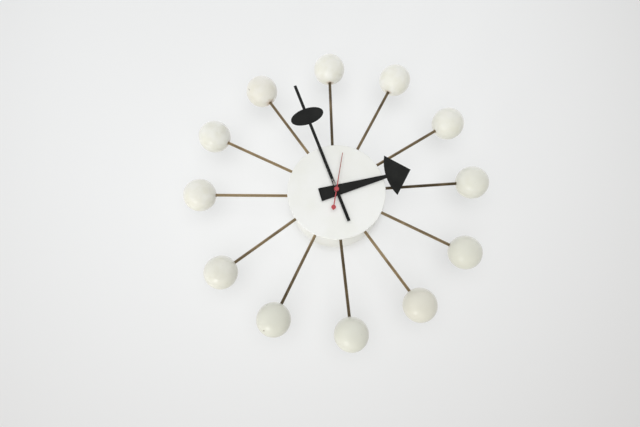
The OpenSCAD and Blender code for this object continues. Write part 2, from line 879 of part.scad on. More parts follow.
// Blade that tapers from the tail to the neck, with an arrowhead whose back edge is an arc
module hour_hand() {
    corner_y = hour_l - arrow_l;
    back_y = corner_y - arrow_bulge;
    arc_r = (arrow_w * arrow_w / 4 + arrow_bulge * arrow_bulge) / 2 / arrow_bulge;
    color(satin_black)
        clock_turn(hour_turn)
            translate([0, 0, hour_hand_z])
                linear_extrude(hand_t)
                    difference() {
                        union() {
                            polygon([
                                [-hour_tail_w / 2, -hour_tail],
                                [hour_tail_w / 2, -hour_tail],
                                [hour_neck_w / 2, back_y + join],
                                [-hour_neck_w / 2, back_y + join]
                            ]);
                            intersection() {
                                translate([0, back_y + arc_r]) circle(arc_r);
                                polygon([
                                    [0, hour_l],
                                    [-arrow_w, hour_l - 2 * arrow_l],
                                    [arrow_w, hour_l - 2 * arrow_l]
                                ]);
                            }
                        }
                        circle(hour_tube_r + snug_gap);
                    }
}

// Bar with an oval across it and a boss for the pipe
module minute_hand() {
    color(satin_black)
        clock_turn(minute_turn)
            translate([0, 0, minute_hand_z])
                linear_extrude(hand_t)
                    difference() {
                        union() {
                            translate([-minute_w / 2, -minute_tail])
                                square([minute_w, minute_l + minute_tail]);
                            translate([0, oval_at])
                                scale([oval_w / 2, oval_h / 2]) circle(1);
                            circle(d = minute_boss_d);
                        }
                        circle(minute_seat_r + snug_gap);
                    }
}

// Tapering needle with a drop-shaped counterweight, on a capped hub
module second_hand() {
    tangent = acos(weight_d / 2 / weight_point);
    hub_r = 1.1;
    cap_edge_r = second_cap_t / 2;
    color(signal_red)
        clock_turn(second_turn)
            difference() {
                union() {
                    translate([0, 0, second_hand_z])
                        linear_extrude(second_t) {
                            polygon([
                                [-needle_w / 2, -weight_at],
                                [needle_w / 2, -weight_at],
                                [needle_w / 2, 0],
                                [needle_tip_w / 2, second_l],
                                [-needle_tip_w / 2, second_l],
                                [-needle_w / 2, 0]
                            ]);
                            translate([0, -weight_at]) {
                                circle(d = weight_d);
                                polygon([
                                    [0, -weight_point],
                                    polar(weight_d / 2, -90 + tangent),
                                    polar(weight_d / 2, -90 - tangent)
                                ]);
                            }
                        }
                    translate([0, 0, second_hand_z + second_t - join])
                        rotate_extrude() {
                            square([second_cap_d / 2 - cap_edge_r, second_cap_t]);
                            square([second_cap_d / 2, second_cap_t - cap_edge_r]);
                            translate([second_cap_d / 2 - cap_edge_r, second_cap_t - cap_edge_r])
                                circle(cap_edge_r);
                        }
                    disc(hub_r, minute_hand_z + hand_t + 2 * tube_past_hand, second_hand_z + join);
                }
                disc(second_arbor_r + snug_gap, minute_hand_z, second_arbor_end + snug_gap);
            }
}

hung() dial_plate();
hung() dial_nuts();
hung() case_drum();
hung() front_ring();
hung() rear_ring();
hung() back_cover();
hung() cover_screws();
hung() spoke_nuts();
for (h = hours) {
    hung() spoke(h);
    hung() ball(h);
}
hung() movement_front();
hung() movement_rear();
hung() centre_bush();
hung() bush_gasket();
hung() bush_washer();
hung() bush_nut();
hung() circuit_board();
hung() quartz_crystal();
hung() ic_chip();
hung() coil_bobbin();
hung() coil_winding();
hung() stator();
hung() rotor_magnet();
hung() rotor_pinion();
hung() intermediate_wheel();
hung() second_wheel();
hung() third_wheel();
hung() centre_wheel();
hung() minute_pipe();
hung() minute_wheel();
hung() hour_wheel();
hung() setting_knob();
hung() battery();
hung() contact_positive();
hung() contact_negative();
hung() hour_hand();
hung() minute_hand();
hung() second_hand();
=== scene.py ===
"""Looks of the ball wall clock: the finish of every piece and the finer shapes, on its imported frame."""
import json
import math

import bmesh
import bpy
from mathutils import Matrix, Vector


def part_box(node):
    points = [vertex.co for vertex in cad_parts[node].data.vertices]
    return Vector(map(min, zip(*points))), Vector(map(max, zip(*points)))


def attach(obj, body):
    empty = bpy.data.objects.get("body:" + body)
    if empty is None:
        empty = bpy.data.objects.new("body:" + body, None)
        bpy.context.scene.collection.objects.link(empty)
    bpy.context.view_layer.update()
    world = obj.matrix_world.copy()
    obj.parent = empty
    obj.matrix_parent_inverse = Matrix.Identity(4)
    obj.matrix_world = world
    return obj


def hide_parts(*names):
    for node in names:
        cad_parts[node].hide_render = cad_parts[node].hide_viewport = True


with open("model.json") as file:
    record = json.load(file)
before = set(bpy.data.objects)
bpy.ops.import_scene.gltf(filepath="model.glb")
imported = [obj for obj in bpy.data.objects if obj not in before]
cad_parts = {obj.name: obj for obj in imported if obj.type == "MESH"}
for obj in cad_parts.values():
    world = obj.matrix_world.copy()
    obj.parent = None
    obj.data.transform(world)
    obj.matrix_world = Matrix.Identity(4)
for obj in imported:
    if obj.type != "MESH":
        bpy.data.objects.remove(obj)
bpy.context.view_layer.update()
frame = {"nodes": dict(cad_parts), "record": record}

MM = 0.001
HOURS = range(1, 13)

# Sizes that the frame gives, in metres. A hand is drawn lying face up, with z as its height above the wall
# and twelve o'clock along +Y, and HUNG stands it up against the wall.
HUNG = Matrix.Rotation(math.pi / 2, 4, "X")
ball_low, ball_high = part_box("ball_12")
ball_r = (ball_high.y - ball_low.y) / 2
spoke_y = (ball_high.y + ball_low.y) / 2
drum_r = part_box("case_drum")[1].x
hour_low, hour_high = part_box("hour_hand")
minute_low, minute_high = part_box("minute_hand")
second_low, second_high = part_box("second_hand")
battery_low, battery_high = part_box("battery")

# Balls: the rod's hole with its rounded lip, how far a brown stain can spread from the hole and spreads at
# least, and how uneven the turned form is
BALL_HOLE_R = 1.65 * MM
BALL_HOLE_DEPTH = 16 * MM
LIP_R = 0.5 * MM
LIP_DEPTH = 0.6 * MM
STAIN_REACH = 14 * MM
STAIN_LEAST = 0.3 * MM
BALL_UNEVENNESS = 0.35 * MM
BALL_LUMP = 16 * MM
BALL_SEED = 3.7
BALL_STEPS = 100
BALL_STEPS_AROUND = 160

# Rods: the thread goes straight into the drum, and the rod leans from its shoulder just inside the drum
SPOKE_R = 1.6 * MM
SPOKE_END_GAP = 0.1 * MM
SPOKE_UNEVENNESS = 0.05 * MM
SPOKE_LUMP = 9 * MM
SPOKE_SEED = 1.3
STREAK_SEED = 2.9
SPOKE_STEPS = 60
SPOKE_STEPS_AROUND = 28
SHOULDER_IN = 0.2 * MM
LEAN_FROM = -0.3 * MM
THREAD_R = 1.0 * MM
THREAD_L = 3.25 * MM
THREAD_CHAMFER = 0.2 * MM

# Back edge of the dial's skirt, which ends just in front of the rods, and how far painted shade on the
# drum reaches from it and from the wall
SKIRT_GAP = 0.7 * MM
skirt_y = spoke_y - SPOKE_R - SKIRT_GAP
SKIRT_SHADE_REACH = 4 * MM
WALL_SHADE_REACH = 30 * MM

# Hands, each measured from the axis with its turn from twelve o'clock
HOUR_TURN = math.radians(78.4)
HOUR_L = 82.5 * MM
HOUR_TAIL = 18.2 * MM
HOUR_TAIL_W = 14.8 * MM
HOUR_NECK_W = 4 * MM
HOUR_HOLE_R = 2.52 * MM
ARROW_W = 46 * MM
ARROW_L = 22.2 * MM
ARROW_BULGE = 5.2 * MM
MINUTE_TURN = math.radians(343.8)
MINUTE_L = 130 * MM
MINUTE_TAIL = 36.2 * MM
MINUTE_W = 3.3 * MM
MINUTE_BOSS_R = 2.6 * MM
MINUTE_HOLE_R = 1.42 * MM
OVAL_AT = 90.1 * MM
OVAL_W = 37.2 * MM
OVAL_H = 19 * MM
SECOND_TURN = math.radians(13.8)
SECOND_L = 41.2 * MM
NEEDLE_W = 1.1 * MM
NEEDLE_TIP_W = 0.9 * MM
NEEDLE_T = 0.3 * MM
NEEDLE_EDGE = 0.08 * MM
WEIGHT_AT = 19.8 * MM
WEIGHT_R = 2.45 * MM
WEIGHT_POINT = 3.3 * MM
CAP_R = 2.8 * MM
CAP_T = 0.7 * MM
CAP_ROUND = 0.45 * MM
CAP_STEM_R = 1.1 * MM
HAND_EDGE = 0.1 * MM

# Worn paint: where the minute hand is bare, with half that patch's width, depth and length, and where the
# needle's wear starts and is full. Painted shade: how far the cap's darker rim reaches past its edge
BARE_AT = 9 * MM
BARE_HALF_SIZE = (1.7 * MM, 1.0 * MM, 5.0 * MM)
WEAR_FROM = 5 * MM
WEAR_FULL = 20 * MM
RIM_MARGIN = 0.1 * MM

# Battery: the positive button's length, how far the sleeve's copper band reaches from its end, and the
# depth of the bare ends
BATTERY_BUTTON = 1 * MM
SLEEVE_BAND = 14 * MM
BARE_END = 0.1 * MM


def hex_colour(code):
    """Linear colour of an sRGB hex value."""
    channels = [int(code[i:i + 2], 16) / 255 for i in (0, 2, 4)]
    linear = [c / 12.92 if c <= 0.04045 else ((c + 0.055) / 1.055) ** 2.4 for c in channels]
    return (*linear, 1.0)


def per_mm(size):
    """Scale of a pattern whose features are that many millimetres apart, on coordinates in metres."""
    return 1000 / size


def add(tree, kind, inputs=None, **settings):
    """Adds a node, with its settings, and fills or links its inputs by socket name or number. A Mix node of
    colours takes its share and its two colours as 0, 6 and 7, and one of plain numbers as 0, 2 and 3."""
    node = tree.nodes.new(kind)
    for name, value in settings.items():
        setattr(node, name, value)
    for key, value in (inputs or {}).items():
        if isinstance(value, bpy.types.NodeSocket):
            tree.links.new(value, node.inputs[key])
        else:
            node.inputs[key].default_value = value
    return node


# Finishes

def new_finish(name, **uniform):
    """New material with its shader's uniform values set: the material, its tree, its shader's inputs and
    its coordinates."""
    material = bpy.data.materials.new(name)
    material.use_nodes = True
    tree = material.node_tree
    shader = tree.nodes["Principled BSDF"]
    for socket, value in uniform.items():
        shader.inputs[socket.replace("_", " ")].default_value = value
    coords = add(tree, "ShaderNodeTexCoord").outputs["Object"]
    return material, tree, shader.inputs, coords


def stoved_enamel():
    # Stoved enamel on sheet steel: a thick satin coat with a faint ripple, yellowed unevenly with age, and
    # darkened with painted shade on the drum behind the dial's skirt and beside the wall
    material, tree, shader, coords = new_finish("stoved_white_enamel", Specular_IOR_Level=0.4)
    ageing = add(tree, "ShaderNodeTexNoise", {"Vector": coords, "Scale": per_mm(34), "Detail": 4.0})
    patches = add(tree, "ShaderNodeMapRange",
                  {"Value": ageing.outputs[0], "From Min": 0.4, "From Max": 0.7})
    colour = add(tree, "ShaderNodeMix",
                 {0: patches.outputs[0], 6: hex_colour("F1F2EF"), 7: hex_colour("EDEEE8")},
                 data_type="RGBA")
    depth = add(tree, "ShaderNodeSeparateXYZ", {0: coords}).outputs["Y"]
    # painted shade: darker on the drum just behind the dial's skirt
    corner = add(tree, "ShaderNodeMapRange",
                 {"Value": depth, "From Min": skirt_y + SKIRT_SHADE_REACH, "From Max": skirt_y, "To Max": 0.45},
                 interpolation_type="SMOOTHSTEP")
    behind_skirt = add(tree, "ShaderNodeMath", {0: depth, 1: skirt_y}, operation="GREATER_THAN")
    painted_shade_under_skirt = add(tree, "ShaderNodeMath",
                      {0: corner.outputs[0], 1: behind_skirt.outputs[0]}, operation="MULTIPLY")
    # painted shade: darker on the drum towards the wall
    painted_shade_at_wall = add(tree, "ShaderNodeMapRange",
                  {"Value": depth, "From Min": -WALL_SHADE_REACH, "From Max": 0.0, "To Max": 0.18},
                  interpolation_type="SMOOTHSTEP")
    dust_and_painted_shade = add(tree, "ShaderNodeMath",
               {0: painted_shade_under_skirt.outputs[0], 1: painted_shade_at_wall.outputs[0]}, operation="MAXIMUM")
    painted_shade_colour = add(tree, "ShaderNodeMix",
                {0: dust_and_painted_shade.outputs[0], 6: colour.outputs[2], 7: hex_colour("C9C8C3")}, data_type="RGBA")
    rubbed = add(tree, "ShaderNodeTexNoise", {"Vector": coords, "Scale": per_mm(9), "Detail": 6.0})
    gloss = add(tree, "ShaderNodeMapRange", {"Value": rubbed.outputs[0], "To Min": 0.36, "To Max": 0.5})
    ripple = add(tree, "ShaderNodeTexNoise", {"Vector": coords, "Scale": per_mm(1.6), "Detail": 2.0})
    skin = add(tree, "ShaderNodeBump",
               {"Height": ripple.outputs[0], "Strength": 0.12, "Distance": 0.1 * MM})
    tree.links.new(painted_shade_colour.outputs[2], shader["Base Color"])
    tree.links.new(gloss.outputs[0], shader["Roughness"])
    tree.links.new(skin.outputs[0], shader["Normal"])
    return material


def painted_wood():
    # Turned wood under old cream oil paint with a thin glossy skin: mottled, with pores and turning marks
    # showing through, and a brown stain where the rod goes in. A ball's attributes say how stained, pink,
    # yellowed and chipped it is.
    material, tree, shader, coords = new_finish("cream_painted_wood", Specular_IOR_Level=0.2,
                                               Coat_Weight=0.8, Coat_Roughness=0.12)
    along = add(tree, "ShaderNodeUVMap", uv_map="UVMap").outputs[0]
    from_hole = add(tree, "ShaderNodeAttribute", attribute_name="from_hole").outputs["Fac"]
    stained = add(tree, "ShaderNodeAttribute", attribute_name="stained").outputs["Fac"]
    pink = add(tree, "ShaderNodeAttribute", attribute_name="pink").outputs["Fac"]
    yellowed = add(tree, "ShaderNodeAttribute", attribute_name="yellowed").outputs["Fac"]
    chipped = add(tree, "ShaderNodeAttribute", attribute_name="chipped").outputs["Fac"]
    mottle = add(tree, "ShaderNodeTexNoise", {"Vector": coords, "Scale": per_mm(11), "Detail": 5.0})
    patches = add(tree, "ShaderNodeMapRange",
                  {"Value": mottle.outputs[0], "From Min": 0.36, "From Max": 0.68})
    cream = add(tree, "ShaderNodeMix",
                {0: patches.outputs[0], 6: hex_colour("F2F2EB"), 7: hex_colour("E9E8DB")},
                data_type="RGBA")
    aged = add(tree, "ShaderNodeMix",
               {0: yellowed, 6: cream.outputs[2], 7: hex_colour("D9D9CC")}, data_type="RGBA")
    warm = add(tree, "ShaderNodeMix",
               {0: pink, 6: aged.outputs[2], 7: hex_colour("E8DACB")}, data_type="RGBA")
    ragged = add(tree, "ShaderNodeTexNoise", {"Vector": coords, "Scale": per_mm(2.4), "Detail": 4.0})
    spread = add(tree, "ShaderNodeMath", {0: ragged.outputs[0], 1: stained}, operation="MULTIPLY")
    reach = add(tree, "ShaderNodeMath",
                {0: spread.outputs[0], 1: STAIN_REACH, 2: BALL_HOLE_R + STAIN_LEAST},
                operation="MULTIPLY_ADD")
    stain = add(tree, "ShaderNodeMapRange",
                {"Value": from_hole, "From Min": reach.outputs[0], "From Max": BALL_HOLE_R,
                 "To Max": 0.55}, interpolation_type="SMOOTHSTEP")
    browned = add(tree, "ShaderNodeMix",
                  {0: stain.outputs[0], 6: warm.outputs[2], 7: hex_colour("B48A60")}, data_type="RGBA")
    pores = add(tree, "ShaderNodeTexVoronoi", {"Vector": coords, "Scale": per_mm(5.5)})
    pinholes = add(tree, "ShaderNodeMapRange",
                   {"Value": pores.outputs["Distance"], "From Min": 0.05, "From Max": 0.02,
                    "To Max": 0.55})
    pitted = add(tree, "ShaderNodeMath", {0: pinholes.outputs[0], 1: chipped}, operation="MAXIMUM")
    colour = add(tree, "ShaderNodeMix",
                 {0: pitted.outputs[0], 6: browned.outputs[2], 7: hex_colour("6B5A3E")},
                 data_type="RGBA")
    gloss = add(tree, "ShaderNodeMapRange", {"Value": mottle.outputs[0], "To Min": 0.3, "To Max": 0.52})
    turning = add(tree, "ShaderNodeMapping",
                  {"Vector": along, "Scale": (per_mm(60), per_mm(1.3), 1)})
    marks = add(tree, "ShaderNodeTexNoise", {"Vector": turning.outputs[0], "Scale": 1.0, "Detail": 3.0})
    height = add(tree, "ShaderNodeMath", {0: marks.outputs[0], 1: ragged.outputs[0]}, operation="ADD")
    skin = add(tree, "ShaderNodeBump",
               {"Height": height.outputs[0], "Strength": 0.2, "Distance": 0.12 * MM})
    tree.links.new(colour.outputs[2], shader["Base Color"])
    tree.links.new(gloss.outputs[0], shader["Roughness"])
    tree.links.new(skin.outputs[0], shader["Normal"])
    return material


def aged_brass():
    # Drawn brass rod, unlacquered: streaked along its length with brown tarnish, with darker stretches
    material, tree, shader, _ = new_finish("tarnished_brass_rod", Metallic=0.6)
    along = add(tree, "ShaderNodeUVMap", uv_map="UVMap").outputs[0]
    rod = add(tree, "ShaderNodeAttribute", attribute_name="rod").outputs["Fac"]
    dark = add(tree, "ShaderNodeAttribute", attribute_name="dark").outputs["Fac"]
    drawn = add(tree, "ShaderNodeMapping", {"Vector": along, "Scale": (per_mm(1.1), per_mm(26), 1)})
    streaks = add(tree, "ShaderNodeTexNoise",
                  {"Vector": drawn.outputs[0], "W": rod, "Scale": 1.0, "Detail": 4.0},
                  noise_dimensions="4D")
    lines = add(tree, "ShaderNodeMapRange",
                {"Value": streaks.outputs[0], "From Min": 0.3, "From Max": 0.68})
    brown = add(tree, "ShaderNodeMix",
                {0: lines.outputs[0], 6: hex_colour("B49F7D"), 7: hex_colour("887556")},
                data_type="RGBA")
    handled = add(tree, "ShaderNodeMapping", {"Vector": along, "Scale": (per_mm(9), per_mm(17), 1)})
    blots = add(tree, "ShaderNodeTexNoise",
                {"Vector": handled.outputs[0], "W": rod, "Scale": 1.0, "Detail": 5.0},
                noise_dimensions="4D")
    amount = add(tree, "ShaderNodeMath", {0: blots.outputs[0], 1: dark}, operation="ADD")
    stretches = add(tree, "ShaderNodeMapRange",
                    {"Value": amount.outputs[0], "From Min": 0.6, "From Max": 1.25})
    colour = add(tree, "ShaderNodeMix",
                 {0: stretches.outputs[0], 6: brown.outputs[2], 7: hex_colour("4B402E")},
                 data_type="RGBA")
    gloss = add(tree, "ShaderNodeMapRange",
                {"Value": streaks.outputs[0], "To Min": 0.22, "To Max": 0.42})
    skin = add(tree, "ShaderNodeBump",
               {"Height": streaks.outputs[0], "Strength": 0.25, "Distance": 0.06 * MM})
    tree.links.new(colour.outputs[2], shader["Base Color"])
    tree.links.new(gloss.outputs[0], shader["Roughness"])
    tree.links.new(skin.outputs[0], shader["Normal"])
    return material


def black_hand_paint(bare_point):
    # Satin black lacquer on sheet aluminium, dusty in places, and knocked off to bare metal beside the hub
    material, tree, shader, coords = new_finish("satin_black_lacquer", Specular_IOR_Level=0.25)
    dust_and_painted_shade = add(tree, "ShaderNodeTexNoise", {"Vector": coords, "Scale": per_mm(14), "Detail": 5.0})
    haze = add(tree, "ShaderNodeMapRange", {"Value": dust_and_painted_shade.outputs[0], "From Min": 0.35, "From Max": 0.75})
    black = add(tree, "ShaderNodeMix",
                {0: haze.outputs[0], 6: hex_colour("131413"), 7: hex_colour("20211F")}, data_type="RGBA")
    patch = add(tree, "ShaderNodeMapping",
                {"Vector": coords, "Location": bare_point, "Rotation": (0, MINUTE_TURN, 0),
                 "Scale": BARE_HALF_SIZE}, vector_type="TEXTURE")
    away = add(tree, "ShaderNodeVectorMath", {0: patch.outputs[0]}, operation="LENGTH")
    ragged = add(tree, "ShaderNodeTexNoise", {"Vector": coords, "Scale": per_mm(1.8), "Detail": 4.0})
    edge = add(tree, "ShaderNodeMath", {0: ragged.outputs[0], 1: 3.4, 2: -0.9}, operation="MULTIPLY_ADD")
    bare = add(tree, "ShaderNodeMath",
               {0: away.outputs["Value"], 1: edge.outputs[0]}, operation="LESS_THAN")
    colour = add(tree, "ShaderNodeMix",
                 {0: bare.outputs[0], 6: black.outputs[2], 7: hex_colour("CFCCC6")}, data_type="RGBA")
    gloss = add(tree, "ShaderNodeMapRange", {"Value": dust_and_painted_shade.outputs[0], "To Min": 0.4, "To Max": 0.58})
    tree.links.new(colour.outputs[2], shader["Base Color"])
    tree.links.new(bare.outputs[0], shader["Metallic"])
    tree.links.new(gloss.outputs[0], shader["Roughness"])
    return material


def red_hand_paint(needle_direction):
    # Red lacquer on thin sheet, darker round the rim of the hub cap with painted shade, and worn to a dull
    # brown along the needle
    material, tree, shader, coords = new_finish("red_lacquer", Roughness=0.32)
    thin = add(tree, "ShaderNodeTexNoise", {"Vector": coords, "Scale": per_mm(6), "Detail": 3.0})
    coat = add(tree, "ShaderNodeMix",
               {0: thin.outputs[0], 6: hex_colour("C14F54"), 7: hex_colour("AF4348")}, data_type="RGBA")
    along = add(tree, "ShaderNodeVectorMath", {0: coords, 1: needle_direction}, operation="DOT_PRODUCT")
    worn = add(tree, "ShaderNodeMapRange",
               {"Value": along.outputs["Value"], "From Min": WEAR_FROM, "From Max": WEAR_FULL,
                "To Max": 0.65}, interpolation_type="SMOOTHSTEP")
    dull = add(tree, "ShaderNodeMix",
               {0: worn.outputs[0], 6: coat.outputs[2], 7: hex_colour("9C8077")}, data_type="RGBA")
    across = add(tree, "ShaderNodeVectorMath", {0: coords, 1: (1, 0, 1)}, operation="MULTIPLY")
    away = add(tree, "ShaderNodeVectorMath", {0: across.outputs[0]}, operation="LENGTH")
    # painted shade: a darker red towards the rim of the hub cap
    painted_rim_shade = add(tree, "ShaderNodeMapRange",
                 {"Value": away.outputs["Value"], "From Min": 0.6 * CAP_R, "From Max": CAP_R},
                 interpolation_type="SMOOTHSTEP")
    on_cap = add(tree, "ShaderNodeMath",
                 {0: away.outputs["Value"], 1: CAP_R + RIM_MARGIN}, operation="LESS_THAN")
    rim = add(tree, "ShaderNodeMath", {0: painted_rim_shade.outputs[0], 1: on_cap.outputs[0]}, operation="MULTIPLY")
    colour = add(tree, "ShaderNodeMix",
                 {0: rim.outputs[0], 6: dull.outputs[2], 7: hex_colour("7E2A30")}, data_type="RGBA")
    tree.links.new(colour.outputs[2], shader["Base Color"])
    return material


def plain_metal(name, light, dark, mottle_mm, low, high):
    # Metal with patches of two tones and of two polishes, as plating, stamping or turning leaves it
    material, tree, shader, coords = new_finish(name, Metallic=1.0)
    patch = add(tree, "ShaderNodeTexNoise",
                {"Vector": coords, "Scale": per_mm(mottle_mm), "Detail": 4.0})
    colour = add(tree, "ShaderNodeMix",
                 {0: patch.outputs[0], 6: hex_colour(light), 7: hex_colour(dark)}, data_type="RGBA")
    gloss = add(tree, "ShaderNodeMapRange", {"Value": patch.outputs[0], "To Min": low, "To Max": high})
    tree.links.new(colour.outputs[2], shader["Base Color"])
    tree.links.new(gloss.outputs[0], shader["Roughness"])
    return material


def moulded_plastic(name, light, dark, grain_mm, low, high):
    # Moulded plastic: nearly one colour, with the fine grain of a spark-eroded mould, drawn coarser than
    # it is so that it shows
    material, tree, shader, coords = new_finish(name)
    flow = add(tree, "ShaderNodeTexNoise", {"Vector": coords, "Scale": per_mm(12), "Detail": 3.0})
    colour = add(tree, "ShaderNodeMix",
                 {0: flow.outputs[0], 6: hex_colour(light), 7: hex_colour(dark)}, data_type="RGBA")
    gloss = add(tree, "ShaderNodeMapRange", {"Value": flow.outputs[0], "To Min": low, "To Max": high})
    grain = add(tree, "ShaderNodeTexNoise",
                {"Vector": coords, "Scale": per_mm(grain_mm), "Detail": 2.0})
    skin = add(tree, "ShaderNodeBump",
               {"Height": grain.outputs[0], "Strength": 0.3, "Distance": 0.05 * MM})
    tree.links.new(colour.outputs[2], shader["Base Color"])
    tree.links.new(gloss.outputs[0], shader["Roughness"])
    tree.links.new(skin.outputs[0], shader["Normal"])
    return material


def printed_sleeve(low_x, high_x):
    # Printed sleeve of a dry cell: graphite, with a copper band at the positive end, and bare tinned ends
    material, tree, shader, coords = new_finish("printed_shrink_sleeve")
    along = add(tree, "ShaderNodeSeparateXYZ", {0: coords}).outputs["X"]
    band = add(tree, "ShaderNodeMath", {0: along, 1: high_x - SLEEVE_BAND}, operation="GREATER_THAN")
    body = add(tree, "ShaderNodeMix",
               {0: band.outputs[0], 6: hex_colour("4A4D52"), 7: hex_colour("B5774B")}, data_type="RGBA")
    middle = add(tree, "ShaderNodeMath",
                 {0: along, 1: (low_x + high_x - BATTERY_BUTTON) / 2}, operation="SUBTRACT")
    from_middle = add(tree, "ShaderNodeMath", {0: middle.outputs[0]}, operation="ABSOLUTE")
    bare = add(tree, "ShaderNodeMath",
               {0: from_middle.outputs[0], 1: (high_x - low_x - BATTERY_BUTTON) / 2 - BARE_END},
               operation="GREATER_THAN")
    colour = add(tree, "ShaderNodeMix",
                 {0: bare.outputs[0], 6: body.outputs[2], 7: hex_colour("CFD0D2")}, data_type="RGBA")
    rubbed = add(tree, "ShaderNodeTexNoise", {"Vector": coords, "Scale": per_mm(5), "Detail": 4.0})
    gloss = add(tree, "ShaderNodeMapRange", {"Value": rubbed.outputs[0], "To Min": 0.22, "To Max": 0.36})
    tree.links.new(colour.outputs[2], shader["Base Color"])
    tree.links.new(bare.outputs[0], shader["Metallic"])
    tree.links.new(gloss.outputs[0], shader["Roughness"])
    return material


minute_direction = HUNG @ Vector((math.sin(MINUTE_TURN), math.cos(MINUTE_TURN), 0))
needle_direction = HUNG @ Vector((math.sin(SECOND_TURN), math.cos(SECOND_TURN), 0))
bare_point = minute_direction * BARE_AT + Vector((0, minute_low.y, 0))
finishes = {
    "white_enamel": stoved_enamel(),
    "painted_wood": painted_wood(),
    "aged_brass": aged_brass(),
    "black_hand_paint": black_hand_paint(bare_point),
    "red_hand_paint": red_hand_paint(needle_direction),
    "zinc_plated_steel": plain_metal("zinc_plated_steel", "C9CBCC", "A7AAAE", 2.5, 0.28, 0.45),
    "bright_brass": plain_metal("turned_brass", "CFAE62", "B08B43", 4, 0.22, 0.38),
    "crystal_can": plain_metal("tinned_steel", "CFD0D2", "B6B8BC", 1.5, 0.25, 0.4),
    "silicon_steel": plain_metal("stamped_silicon_steel", "A8AAAD", "8C8F94", 3, 0.35, 0.55),
    "magnet": plain_metal("sintered_ferrite", "55565A", "3E3F43", 1, 0.5, 0.7),
    "copper_wire": plain_metal("enamelled_copper_wire", "C4733F", "9C4F27", 2, 0.25, 0.4),
    "battery_sleeve": printed_sleeve(battery_low.x, battery_high.x),
    "black_plastic": moulded_plastic("black_abs", "2B2B2D", "222224", 0.5, 0.45, 0.6),
    "white_plastic": moulded_plastic("white_acetal", "E6E4DC", "DAD8CE", 0.8, 0.35, 0.5),
    "rubber": moulded_plastic("black_rubber", "1B1B1B", "262626", 0.7, 0.7, 0.85),
    "circuit_board": moulded_plastic("green_solder_mask", "2F6B3F", "255734", 1.0, 0.3, 0.4),
    "chip_epoxy": moulded_plastic("black_epoxy_drop", "0D0D0E", "151516", 2.0, 0.12, 0.2),
}


# Forms

# Points of a turned form that are nearer than this are one: its seam and its poles
SEAM_WITHIN = 0.001 * MM


def turned_tree():
    """Tree that turns a profile, the points of the mesh that it is put on, about the Z axis."""
    tree = bpy.data.node_groups.new("turned_form", "GeometryNodeTree")
    sockets = (("Profile", "Geometry"), ("Steps Around", "Int"), ("Girth", "Float"),
               ("Unevenness", "Float"), ("Lump Size", "Float"), ("Seed", "Float"), ("Finish", "Material"))
    for name, kind in sockets:
        tree.interface.new_socket(name, in_out="INPUT", socket_type="NodeSocket" + kind)
    tree.interface.new_socket("Form", in_out="OUTPUT", socket_type="NodeSocketGeometry")
    given = add(tree, "NodeGroupInput").outputs
    place = add(tree, "GeometryNodeInputPosition").outputs[0]
    index = add(tree, "GeometryNodeInputIndex").outputs[0]
    count = add(tree, "GeometryNodeAttributeDomainSize", {0: given["Profile"]}).outputs["Point Count"]
    columns = add(tree, "ShaderNodeMath", {0: given["Steps Around"], 1: 1.0}, operation="ADD")
    grid = add(tree, "GeometryNodeMeshGrid", {"Vertices X": columns.outputs[0], "Vertices Y": count})
    row = add(tree, "ShaderNodeMath", {0: index, 1: count}, operation="MODULO")
    whole = add(tree, "ShaderNodeMath", {0: index, 1: row.outputs[0]}, operation="SUBTRACT")
    column = add(tree, "ShaderNodeMath", {0: whole.outputs[0], 1: count}, operation="DIVIDE")
    share = add(tree, "ShaderNodeMath",
                {0: column.outputs[0], 1: given["Steps Around"]}, operation="DIVIDE")
    angle = add(tree, "ShaderNodeMath", {0: share.outputs[0], 1: 2 * math.pi}, operation="MULTIPLY")
    point = add(tree, "GeometryNodeSampleIndex",
                {"Geometry": given["Profile"], "Value": place, "Index": row.outputs[0]},
                data_type="FLOAT_VECTOR")
    turned = add(tree, "ShaderNodeVectorRotate",
                 {"Vector": point.outputs[0], "Angle": angle.outputs[0]}, rotation_type="Z_AXIS")
    length = add(tree, "GeometryNodeInputNamedAttribute", {"Name": "along"}, data_type="FLOAT")
    along = add(tree, "GeometryNodeSampleIndex",
                {"Geometry": given["Profile"], "Value": length.outputs[0], "Index": row.outputs[0]},
                data_type="FLOAT")
    around = add(tree, "ShaderNodeMath", {0: share.outputs[0], 1: given["Girth"]}, operation="MULTIPLY")
    flat = add(tree, "ShaderNodeCombineXYZ", {"X": around.outputs[0], "Y": along.outputs[0]})
    corners = add(tree, "GeometryNodeFieldOnDomain", {0: flat.outputs[0]}, data_type="FLOAT_VECTOR")
    mapped = add(tree, "GeometryNodeStoreNamedAttribute",
                 {"Geometry": grid.outputs[0], "Name": "UVMap", "Value": corners.outputs[0]},
                 data_type="FLOAT2", domain="CORNER")
    round_form = add(tree, "GeometryNodeSetPosition",
                     {"Geometry": mapped.outputs[0], "Position": turned.outputs[0]})
    closed = add(tree, "GeometryNodeMergeByDistance",
                 {"Geometry": round_form.outputs[0], "Distance": SEAM_WITHIN})
    scale = add(tree, "ShaderNodeMath", {0: 1.0, 1: given["Lump Size"]}, operation="DIVIDE")
    lumps = add(tree, "ShaderNodeTexNoise",
                {"Vector": place, "W": given["Seed"], "Scale": scale.outputs[0], "Detail": 1.0},
                noise_dimensions="4D")
    swing = add(tree, "ShaderNodeMath", {0: lumps.outputs[0], 1: 0.5}, operation="SUBTRACT")
    rise = add(tree, "ShaderNodeMath",
               {0: swing.outputs[0], 1: given["Unevenness"]}, operation="MULTIPLY")
    outwards = add(tree, "ShaderNodeVectorMath",
                   {0: add(tree, "GeometryNodeInputNormal").outputs[0], "Scale": rise.outputs[0]},
                   operation="SCALE")
    uneven = add(tree, "GeometryNodeSetPosition",
                 {"Geometry": closed.outputs[0], "Offset": outwards.outputs[0]})
    painted = add(tree, "GeometryNodeSetMaterial",
                  {"Geometry": uneven.outputs[0], "Material": given["Finish"]})
    whole_form = add(tree, "GeometryNodeRealizeInstances", {"Geometry": painted.outputs[0]})
    add(tree, "NodeGroupOutput", {"Form": whole_form.outputs[0]})
    return tree


